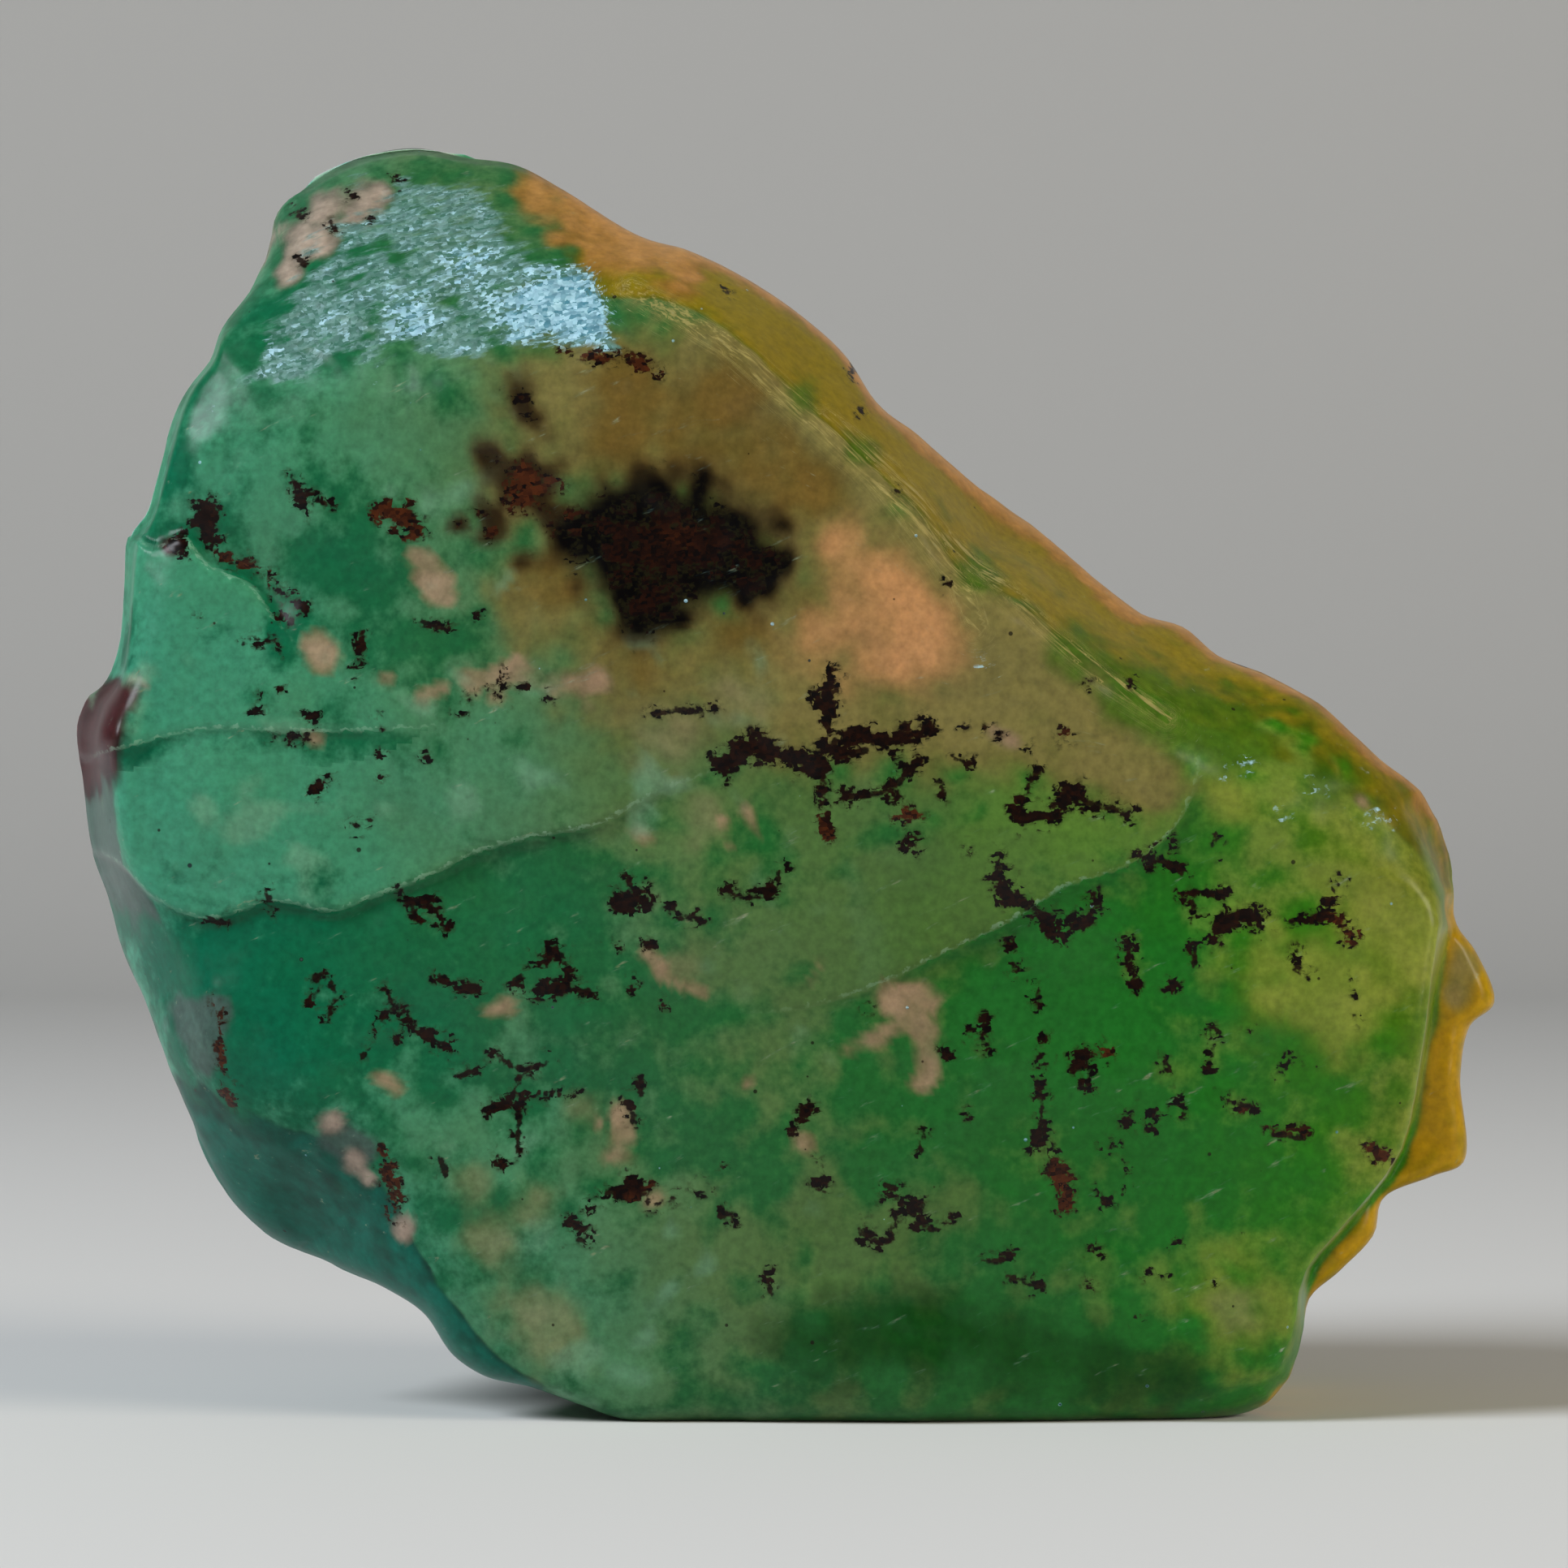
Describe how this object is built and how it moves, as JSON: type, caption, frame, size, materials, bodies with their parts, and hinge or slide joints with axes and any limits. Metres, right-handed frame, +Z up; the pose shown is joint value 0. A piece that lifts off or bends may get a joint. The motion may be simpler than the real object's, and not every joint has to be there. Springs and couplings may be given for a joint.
{
  "type": "raw emerald",
  "caption": "Uncut lump of translucent green beryl with broken faces, a stepped front, a thin scalloped edge and a flat base it stands on.",
  "frame": {"origin": "middle of the bounding box, at the flat base", "axes": "+X to the right along the stone's length, +Y away from the broad broken face, +Z up from the flat base"},
  "size_m": [0.0398, 0.0196, 0.0355],
  "materials": {
    "beryl": "natural broken surface, waxy to glassy, cloudy and translucent, with black mica specks and a frosted white patch"
  },
  "bodies": {
    "root": {"emerald": "beryl"}
  },
  "joints": []
}
